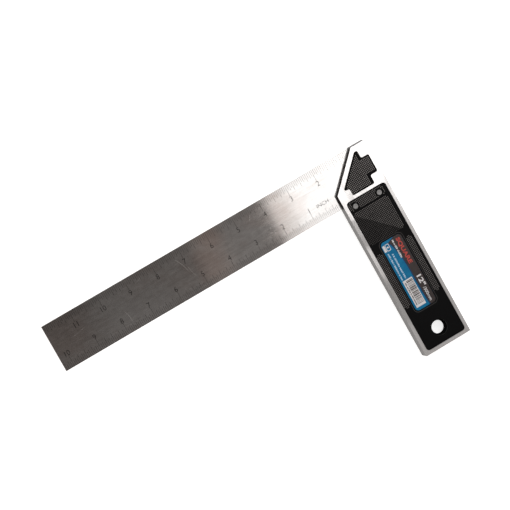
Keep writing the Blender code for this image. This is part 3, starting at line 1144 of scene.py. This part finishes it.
def label_frame():
    """Raised line on the front cover."""
    width = label_high.x - label_low.x + 2 * FRAME_GAP
    height = label_high.y - label_low.y + 2 * FRAME_GAP
    middle = (label_low + label_high) / 2
    values = {"Width": width * MM, "Height": height * MM, "Material": rubbed_black}
    values.update(Corner=FRAME_CORNER * MM, Radius=FRAME_RADIUS * MM)
    values.update(Middle=at(middle.x, middle.y, COVER_FACE - FRAME_SINK))
    mesh = run_tree(frame_tree(), values)
    tidy_shading(mesh, math.radians(60))
    finish_piece("label_frame", mesh, rubbed_black)


label_frame()

# %% [markdown]
# ## Mitre covers
#
# The stepped cover beside the shoulder hides the blade's rivets. It has the same points inside a
# smooth border. Its field is the cover's own outline drawn in, so the field is worked out from the
# outline's corners and not drawn again.

# %% Mitre covers
mitre_low, mitre_high = in_mm("mitre_cover_front")
MITRE_FACE = mitre_high.z
MITRE_BORDER = 0.95


def mitre_outline(gap):
    """Corners of the stepped cover drawn in by a gap."""
    left, right, inner_right = mitre_low.x + gap, mitre_high.x - gap, 32.3 - gap
    bottom, top = mitre_low.y + gap, mitre_high.y - gap
    slope = 6.3 - gap * math.sqrt(2)
    step_left, step_right, notch = 12.6 - 0.1 * gap, 13.6 + gap, 29.1 - gap
    return [
        (left, bottom), (inner_right, bottom), (inner_right, step_right), (right, step_right),
        (right, notch), (inner_right, notch), (inner_right, top), (top - slope, top),
        (step_left - slope + gap, step_left + gap), (left, step_left + gap),
    ]


low, high = MITRE_FACE - FIELD_SINK, MITRE_FACE + 1
cutter = plate(rounded(mitre_outline(MITRE_BORDER), 0.5), low, high)
points = filled_field(mitre_outline(MITRE_BORDER + 0.5), low, FIELD_SINK + 0.1)
covers("mitre", "mitre_grip", [cutter], [], points)

# %% [markdown]
# ## Rivets
#
# Two solid rivets pin the long covers through the casting. Their heads are flat with a soft
# rounded edge and a dull tumbled finish. One profile turned round the axis makes a rivet, and a
# tree puts one at each place. The three rivets that hold the blade are under the mitre covers, so
# they stay as they are and only take the finish.

# %% Rivet metal
tumbled_tones = ((0.20, 0.196, 0.193), (0.29, 0.284, 0.28))
dull_rivet = grained_metal("rivet_metal", 1800.0, (1, 1, 1), tumbled_tones, (0.6, 0.45), 0.015)

# %% Rivets
rivet_low, rivet_high = in_mm("grip_rivet_inner")
HEAD_ROUND = 0.35
HEAD_HEIGHT = 1.2
SHANK = 1.5
TURN_SIDES = 40


def rivet_profile():
    """Half of a rivet's outline from the middle of its top face down, as radius and height."""
    head = (rivet_high.x - rivet_low.x) / 2
    top, middle = rivet_high.z, STOCK_FACE / 2
    points = [(0.0, top - 0.08), (0.7, top - 0.05), (1.1, top - 0.01), (1.5, top)]
    for step in range(5):
        turn = math.pi / 2 * step / 4
        across, drop = HEAD_ROUND * math.sin(turn), HEAD_ROUND * (1 - math.cos(turn))
        points.append((head - HEAD_ROUND + across, top - drop))
    points += [(head, top - HEAD_HEIGHT), (SHANK, top - HEAD_HEIGHT), (SHANK, middle)]
    return points


def turned_rivet():
    """Rivet turned from its profile, the same at both ends, with its middle on the axis."""
    upper = rivet_profile()
    whole = upper + [(radius, STOCK_FACE - height) for radius, height in upper[-2::-1]]
    mesh = bpy.data.meshes.new("rivet")
    turn = {"axis": (0, 0, 1), "cent": (0, 0, 0), "steps": TURN_SIDES, "angle": 2 * math.pi}
    with editing(mesh) as editor:
        line = [editor.verts.new((radius * MM, 0, height * MM)) for radius, height in whole]
        edges = [editor.edges.new(pair) for pair in zip(line, line[1:])]
        bmesh.ops.spin(editor, geom=line + edges, **turn)
        bmesh.ops.remove_doubles(editor, verts=editor.verts, dist=WELD)
        bmesh.ops.recalc_face_normals(editor, faces=editor.faces)
    return mesh


def rivets_tree():
    """Puts one object at each point of the mesh that comes in."""
    tree, source, output = new_tree("rivets", {"Rivet": "Object", "Material": "Material"})
    given = source.outputs
    rivet = add(tree, "GeometryNodeObjectInfo", {"Object": given["Rivet"]}).outputs["Geometry"]
    placed = {"Points": given["Geometry"], "Instance": rivet}
    end_tree(tree, source, output, geo(tree, "InstanceOnPoints", placed))
    return tree


def grip_rivets():
    """Both rivets of the long covers, and the finish of the hidden ones."""
    places = bpy.data.meshes.new("places")
    places.from_pydata([at(x, y) for x, y in RIVETS], [], [])
    rivet = in_scene("rivet", turned_rivet())
    mesh = run_tree(rivets_tree(), {"Rivet": rivet, "Material": dull_rivet}, places)
    bpy.data.objects.remove(rivet)
    tidy_shading(mesh)
    finish_piece("grip_rivets", mesh, dull_rivet, ["grip_rivet_inner", "grip_rivet_outer"])
    for name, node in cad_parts.items():
        if name.startswith("blade_rivet"):
            node.data.materials.clear()
            node.data.materials.append(dull_rivet)


grip_rivets()

# %% [markdown]
# ## Label
#
# A printed film lies in a shallow bed. Its ground is blue on the inner side and warm dark grey on
# the outer side, and the two meet along a gentle curve. Each colour of ink is its own thin layer,
# a few hundredths of a millimetre above the one below, as printed ink is. All its words are plain
# ones: what the tool is, and its size in inches and millimetres. The fine print is only dashes.

# %% Printing inks
INK = 0.02


def printed(name, dark, light):
    """Ink on a coated film, a little uneven in the way print is."""
    material, tree, shader, place = new_material(name, Specular_IOR_Level=0.15)
    cloud = noise(tree, place, 240.0, detail=4.0)
    dots = noise(tree, place, 2400.0, detail=2.0)
    tone = maths(tree, "ADD", product(tree, cloud, 0.6), product(tree, dots, 0.4))
    drive(tree, shader, Base_Color=tinted(tree, tone, 0.35, 0.65, dark, light))
    drive(tree, shader, Roughness=fade(tree, cloud, 0.3, 0.7, 0.42, 0.30))
    return material


blue_film = printed("blue_film", (0.003, 0.125, 0.27), (0.007, 0.18, 0.36))
grey_ink = printed("grey_ink", (0.040, 0.032, 0.031), (0.056, 0.046, 0.045))
navy_ink = printed("navy_ink", (0.012, 0.038, 0.10), (0.02, 0.055, 0.135))
white_ink = printed("white_ink", (0.62, 0.61, 0.62), (0.78, 0.77, 0.78))
red_ink = printed("red_ink", (0.42, 0.058, 0.048), (0.56, 0.085, 0.07))
pale_ink = printed("pale_ink", (0.36, 0.52, 0.68), (0.52, 0.66, 0.80))
bar_ink = printed("bar_ink", (0.03, 0.024, 0.022), (0.08, 0.065, 0.058))

# %% Label ground
LABEL_FACE = label_high.z
PRINT_LOW = LABEL_FACE - 0.05
PRINT_TOP = LABEL_FACE + 2 * INK
LABEL_CORNER = 3.2
EDGE_LINE = [
    (15.4, -39.8), (17.6, -42.0), (19.6, -45.0), (21.2, -49.5),
    (22.7, -58.5), (23.3, -67.0), (23.4, -80.0), (23.6, -92.0), (24.4, -103.4),
]
EDGE_STEPS = 24


def along(points, y):
    """How far out the line through these points is at a height."""
    for (x0, y0), (x1, y1) in zip(points, points[1:]):
        if y1 <= y <= y0:
            share = (y0 - y) / (y0 - y1)
            return x0 + (x1 - x0) * share
    return points[-1][0]


def beside_curve(shift, width=None):
    """Part of the label beyond the curve moved out by shift, or only a band of some width."""
    top, bottom = label_high.y, label_low.y
    levels = [top + (bottom - top) * k / EDGE_STEPS for k in range(EDGE_STEPS + 1)]
    inner = [(along(EDGE_LINE, y) + shift, y) for y in levels]
    if width:
        return inner + [(x + width, y) for x, y in reversed(inner)]
    right = label_high.x
    corners = rounded(rectangle(label_low.x, right, bottom, top), LABEL_CORNER)
    side = [point for point in corners if point[0] > right - LABEL_CORNER - 0.01]
    return inner + [(p[0] - 0.02, p[1]) for p in side]


def ink_piece(name, meshes, ink):
    """All that one ink prints, as one piece of the label."""
    finish_piece(name, joined(meshes, name), ink)


def label_ground():
    """Blue film with the grey panel and the dark line between the two."""
    mesh = welded_copy("label")
    tidy_shading(mesh)
    finish_piece("label_film", mesh, blue_film, ["label"])
    grey = plate(beside_curve(0.0), PRINT_LOW, LABEL_FACE + INK)
    ink_piece("label_grey_panel", [grey], grey_ink)
    band = plate(beside_curve(-0.55, 0.9), PRINT_LOW, LABEL_FACE + 1.5 * INK)
    ink_piece("label_navy_line", [band], navy_ink)


label_ground()

# %% Label print
DOWN = -90.0
BOX = (12.8, 21.7, -100.8, -76.0)


def print_plate(left, right, bottom, top, high=PRINT_TOP):
    """Rectangle of ink."""
    return plate(rectangle(left, right, bottom, top), PRINT_LOW, high)


def word(text, left, right, top, bottom, weight):
    """A word that reads down the label, filling the space between these sides."""
    mesh = lettering(text, right - left, top - bottom, weight, PRINT_TOP - PRINT_LOW, DOWN)
    return put(mesh, (left + right) / 2, (top + bottom) / 2, (PRINT_LOW + PRINT_TOP) / 2)


def fine_print(x, top, bottom, height, seed, high=PRINT_TOP):
    """A line of dashes of uneven length that stands for small type."""
    source = random.Random(seed)
    meshes, y = [], top
    while y > bottom:
        length = source.uniform(0.45, 1.3)
        tall = height * source.uniform(0.7, 1.0)
        meshes.append(print_plate(x, x + tall, max(y - length, bottom), y, high))
        y -= length + source.choice((0.28, 0.3, 0.75))
    return joined(meshes, "fine_print")


def barred_box():
    """White box with a row of bars and a line of dashes under it, which stand for nothing."""
    left, right, bottom, top = BOX
    ink_piece("label_white_box", [print_plate(*BOX)], white_ink)
    source = random.Random(7)
    meshes, y = [], top - 1.2
    while y > bottom + 2.2:
        wide = source.choice((0.25, 0.4, 0.6, 0.8))
        meshes.append(print_plate(left + 2.6, right - 0.5, y - wide, y, PRINT_TOP + INK))
        y -= wide + source.choice((0.3, 0.5, 0.7))
    meshes.append(fine_print(left + 0.9, top - 2.2, bottom + 2.2, 1.1, 11, PRINT_TOP + INK))
    ink_piece("label_bars", meshes, bar_ink)


def ring(outline, width):
    """Rounded rectangle printed as a line of this width."""
    hole = plate(rounded(inset(outline, width), 0.5), PRINT_LOW - 1, PRINT_TOP + 1)
    return carved(plate(rounded(rectangle(*outline), 0.8), PRINT_LOW, PRINT_TOP), [hole])


def label_print():
    """Every word, dash and sign on the label."""
    ink_piece("label_title", [word("SQUARE", 24.5, 28.7, -42.2, -66.0, 0.035)], red_ink)
    white = [word('12"', 25.3, 29.6, -77.7, -87.4, 0.03), word("/300mm", 25.5, 28.2, -88.5, -101.0, 0.012)]
    white += [fine_print(21.6, -41.9, -58.3, 1.5, 3), print_plate(11.9, 13.9, -48.2, -42.6)]
    white += [ring((14.2, 17.8, -48.4, -42.4), 0.5), disc(16.0, -45.4, 0.75, PRINT_LOW, PRINT_TOP, 20)]
    ink_piece("label_white_print", white, white_ink)
    pale = [fine_print(16.1, -52.0, -74.8, 1.5, 5), fine_print(12.9, -50.2, -75.2, 1.4, 9)]
    ink_piece("label_fine_print", pale, pale_ink)


barred_box()
label_print()

# %% [markdown]
# ## Sizes
#
# This prints the box round the finished tool. The finished tool has to stay inside the
# box of the imported model.

# %% Print the box
low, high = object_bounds()
print("visual box", [round(v, 5) for v in (*low, *high)])
